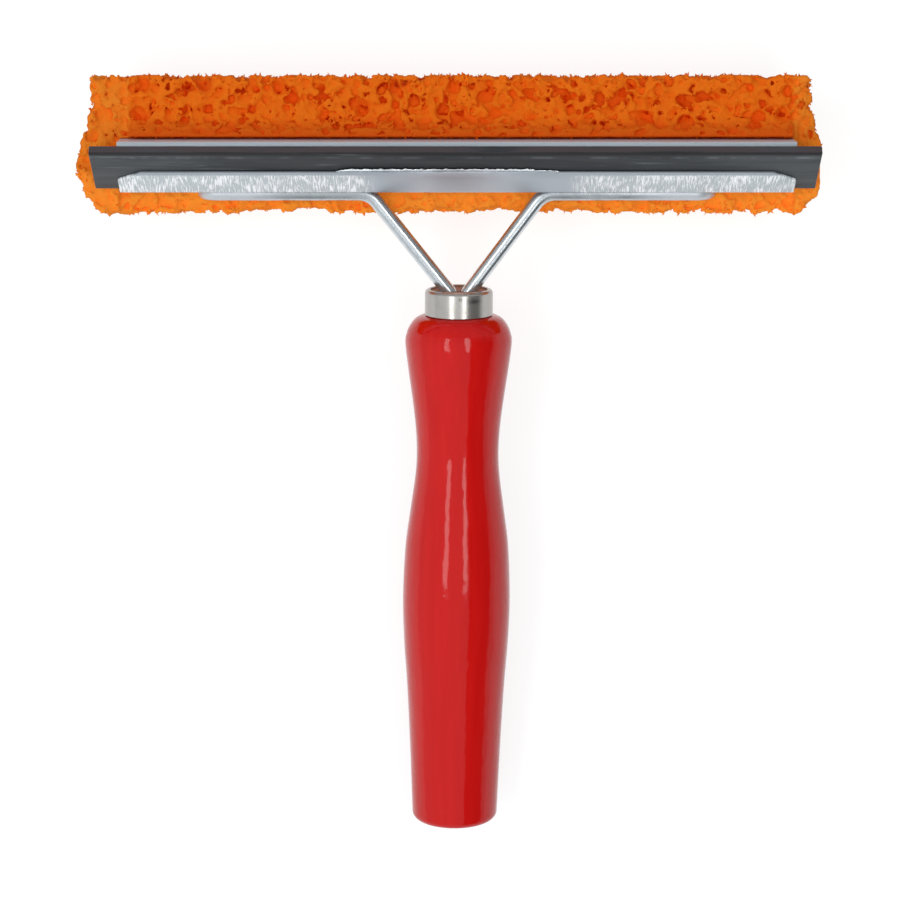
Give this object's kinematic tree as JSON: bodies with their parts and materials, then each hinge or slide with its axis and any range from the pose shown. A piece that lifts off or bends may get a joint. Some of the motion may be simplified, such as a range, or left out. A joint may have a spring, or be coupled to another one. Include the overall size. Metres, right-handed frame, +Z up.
{
  "type": "window squeegee",
  "caption": "Window squeegee with a turned red wooden handle, a splayed wire neck, a grey rubber blade in a folded zinc holder and a coarse orange sponge along the back.",
  "frame": {"origin": "middle of the resting tool's bounding box, on the table under it", "axes": "+X along the blade to the right seen from above with the head away, +Y from the handle towards the head, +Z up from the table; the handle's axis rises 6.5 degrees towards the head"},
  "size_m": [0.2106, 0.2168, 0.0512],
  "materials": {
    "red_lacquer": "gloss",
    "nickel": "polished",
    "wire_zinc": "satin",
    "sheet_zinc": "satin",
    "jaw_zinc": "satin",
    "rubber": "matte",
    "foam": "matte",
    "weld_metal": "matte"
  },
  "bodies": {
    "frame": {"handle": "red_lacquer", "ferrule": "nickel", "wire_arm_left": "wire_zinc", "wire_arm_right": "wire_zinc", "blade_holder": "sheet_zinc", "sponge_jaw": "jaw_zinc", "sponge": "foam", "weld_left_inner": "weld_metal", "weld_left_outer": "weld_metal", "weld_right_inner": "weld_metal", "weld_right_outer": "weld_metal"},
    "strip": {"blade": "rubber"}
  },
  "joints": [
    {"name": "blade_slide", "type": "slide", "parent": "frame", "child": "strip", "axis": [1, 0, 0], "range_m": [-0.19, 0.19]}
  ]
}
